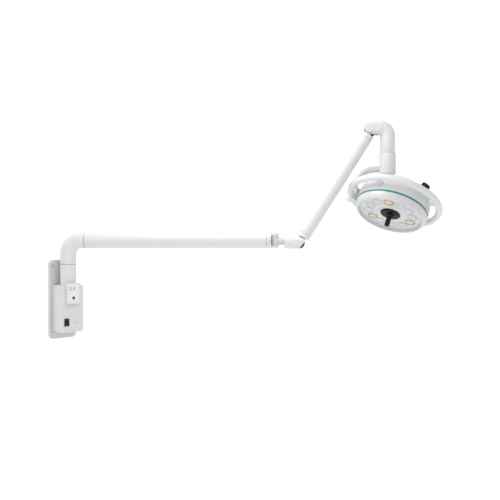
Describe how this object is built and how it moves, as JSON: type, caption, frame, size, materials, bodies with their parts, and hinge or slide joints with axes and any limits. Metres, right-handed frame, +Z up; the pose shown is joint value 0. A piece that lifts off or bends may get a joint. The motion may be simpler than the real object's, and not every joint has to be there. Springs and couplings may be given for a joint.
{
  "type": "wall-mounted surgical light",
  "caption": "Wall-mounted surgical light: wall box with switch, swivelling horizontal arm, balanced lifting arm, swivelling neck with bow, and a round tilting LED head with ring handle.",
  "frame": {"origin": "centre of the wall plate's back face", "axes": "+X out of the wall, +Z up; at rest the arm points midway between +X and +Y"},
  "size_m": [1.0684, 1.0787, 0.8065],
  "materials": {
    "wall_plate": "satin white powder coat",
    "housing": "satin white powder coat",
    "post_socket": "satin white powder coat",
    "wall_elbow": "satin white powder coat",
    "arm_tube": "satin white powder coat",
    "arm_fork": "satin white powder coat",
    "knuckle_body": "satin white powder coat",
    "lower_collar": "satin white powder coat",
    "spring_arm_tube": "satin white powder coat",
    "upper_collar": "satin white powder coat",
    "neck_fork": "satin white powder coat",
    "neck_elbow": "satin white powder coat",
    "neck_sleeve": "satin white powder coat",
    "sleeve_end_cap": "satin white powder coat",
    "bow": "satin white powder coat",
    "upper_shell": "satin white powder coat",
    "ring_handle": "satin white powder coat",
    "ring_brackets": "satin white powder coat",
    "pivot_fork": "satin white powder coat",
    "wall_screws": "machined steel",
    "post_bracket": "machined steel",
    "lift_pin": "machined steel",
    "neck_pin": "machined steel",
    "yaw_pin": "machined steel",
    "tilt_pin": "machined steel",
    "swivel_spindle": "machined steel",
    "neck_spindle": "machined steel",
    "yaw_barrel": "satin anodised",
    "lens_rims": "satin anodised",
    "heat_sink": "die cast",
    "cable_grommet": "matt black",
    "thrust_washer": "matt black",
    "neck_seam_ring": "matt black",
    "post_bushes": "sintered bearing bronze",
    "sleeve_bush": "sintered bearing bronze",
    "lift_caps": "light grey moulded plastic",
    "neck_caps": "light grey moulded plastic",
    "control_panel": "light grey moulded plastic",
    "lower_bezel": "light grey moulded plastic",
    "face_panel": "light grey moulded plastic",
    "driver_module": "fine matt black",
    "rocker_frame": "fine matt black",
    "panel_icons": "fine matt black",
    "fork_screws": "fine matt black",
    "lower_tongue": "fine matt black",
    "upper_tongue": "fine matt black",
    "handle_hub": "fine matt black",
    "handle_grip": "fine matt black",
    "adjuster_knob": "fine matt black",
    "knob_boss": "fine matt black",
    "rocker": "moulded gloss black",
    "panel_button": "dark grey",
    "panel_overlay": "printed film, pale grey",
    "indicator_lens": "translucent pale red",
    "green_ring": "teal green band",
    "gold_rims": "satin gold",
    "gold_lenses": "clear moulded optic",
    "clear_lenses": "clear moulded optic",
    "led_board": "white solder mask",
    "led_chips": "yellow phosphor"
  },
  "bodies": {
    "wall": {"wall_plate": "wall_plate", "wall_screws": "wall_screws", "cable_grommet": "cable_grommet", "housing": "housing", "post_bracket": "post_bracket", "post_socket": "post_socket", "post_bushes": "post_bushes", "thrust_washer": "thrust_washer", "driver_module": "driver_module", "control_panel": "control_panel", "panel_overlay": "panel_overlay", "panel_icons": "panel_icons", "rocker_frame": "rocker_frame", "indicator_lens": "indicator_lens"},
    "button": {"panel_button": "panel_button"},
    "switch": {"rocker": "rocker"},
    "main_arm": {"wall_elbow": "wall_elbow", "swivel_spindle": "swivel_spindle", "arm_tube": "arm_tube", "arm_fork": "arm_fork", "fork_screws": "fork_screws", "yaw_pin": "yaw_pin"},
    "knuckle": {"yaw_barrel": "yaw_barrel", "knuckle_body": "knuckle_body", "lift_pin": "lift_pin", "lift_caps": "lift_caps"},
    "spring_arm": {"lower_tongue": "lower_tongue", "lower_collar": "lower_collar", "spring_arm_tube": "spring_arm_tube", "upper_collar": "upper_collar", "upper_tongue": "upper_tongue"},
    "neck": {"neck_fork": "neck_fork", "neck_pin": "neck_pin", "neck_caps": "neck_caps", "neck_elbow": "neck_elbow", "neck_seam_ring": "neck_seam_ring", "neck_spindle": "neck_spindle"},
    "bow_arm": {"neck_sleeve": "neck_sleeve", "sleeve_bush": "sleeve_bush", "sleeve_end_cap": "sleeve_end_cap", "bow": "bow"},
    "head": {"upper_shell": "upper_shell", "green_ring": "green_ring", "lower_bezel": "lower_bezel", "face_panel": "face_panel", "gold_rims": "gold_rims", "lens_rims": "lens_rims", "gold_lenses": "gold_lenses", "clear_lenses": "clear_lenses", "led_board": "led_board", "led_chips": "led_chips", "heat_sink": "heat_sink", "handle_hub": "handle_hub", "ring_handle": "ring_handle", "ring_brackets": "ring_brackets", "pivot_fork": "pivot_fork", "tilt_pin": "tilt_pin", "knob_boss": "knob_boss"},
    "grip": {"handle_grip": "handle_grip"},
    "knob": {"adjuster_knob": "adjuster_knob"}
  },
  "joints": [
    {"name": "arm_swivel", "type": "hinge", "parent": "wall", "child": "main_arm", "pos_m": [0.047, 0, 0.1], "axis": [0, 0, 1], "range_deg": [-120, 30]},
    {"name": "arm_yaw", "type": "hinge", "parent": "main_arm", "child": "knuckle", "pos_m": [0.58794, 0.54094, 0.217], "axis": [0, 0, 1], "range_deg": [-85, 85]},
    {"name": "arm_lift", "type": "hinge", "parent": "knuckle", "child": "spring_arm", "pos_m": [0.65087, 0.60387, 0.209], "axis": [0.7071, -0.7071, 0], "range_deg": [-88, 3]},
    {"name": "neck_level", "type": "hinge", "parent": "spring_arm", "child": "neck", "pos_m": [0.83896, 0.79196, 0.63], "axis": [0.7071, -0.7071, 0], "range_deg": [-3, 88]},
    {"name": "neck_swivel", "type": "hinge", "parent": "neck", "child": "bow_arm", "pos_m": [0.88238, 0.83538, 0.5], "axis": [0, 0, 1], "range_deg": [-200, 15]},
    {"name": "head_tilt", "type": "hinge", "parent": "bow_arm", "child": "head", "pos_m": [0.73198, 0.83534, 0.40853], "axis": [1, 0, 0], "range_deg": [-5, 56]},
    {"name": "knob_turn", "type": "hinge", "parent": "head", "child": "knob", "pos_m": [1.00038, 0.88831, 0.40557], "axis": [0.5, 0.4185, 0.7582], "range_deg": [-150, 150]},
    {"name": "grip_turn", "type": "hinge", "parent": "head", "child": "grip", "pos_m": [0.89038, 0.86638, 0.3617], "axis": [0, -0.4833, -0.8755], "range_deg": [-60, 60]},
    {"name": "rocker_tip", "type": "hinge", "parent": "wall", "child": "switch", "pos_m": [0.078, -0.0268, -0.08], "axis": [0, 1, 0], "range_deg": [0, 16]},
    {"name": "button_press", "type": "slide", "parent": "wall", "child": "button", "axis": [-1, 0, 0], "range_m": [0, 0.0015], "stiffness_N_per_m": 600, "springref_m": -0.001}
  ],
  "couplings": [
    {"joint": "neck_level", "follows": "arm_lift", "ratio": -1}
  ]
}
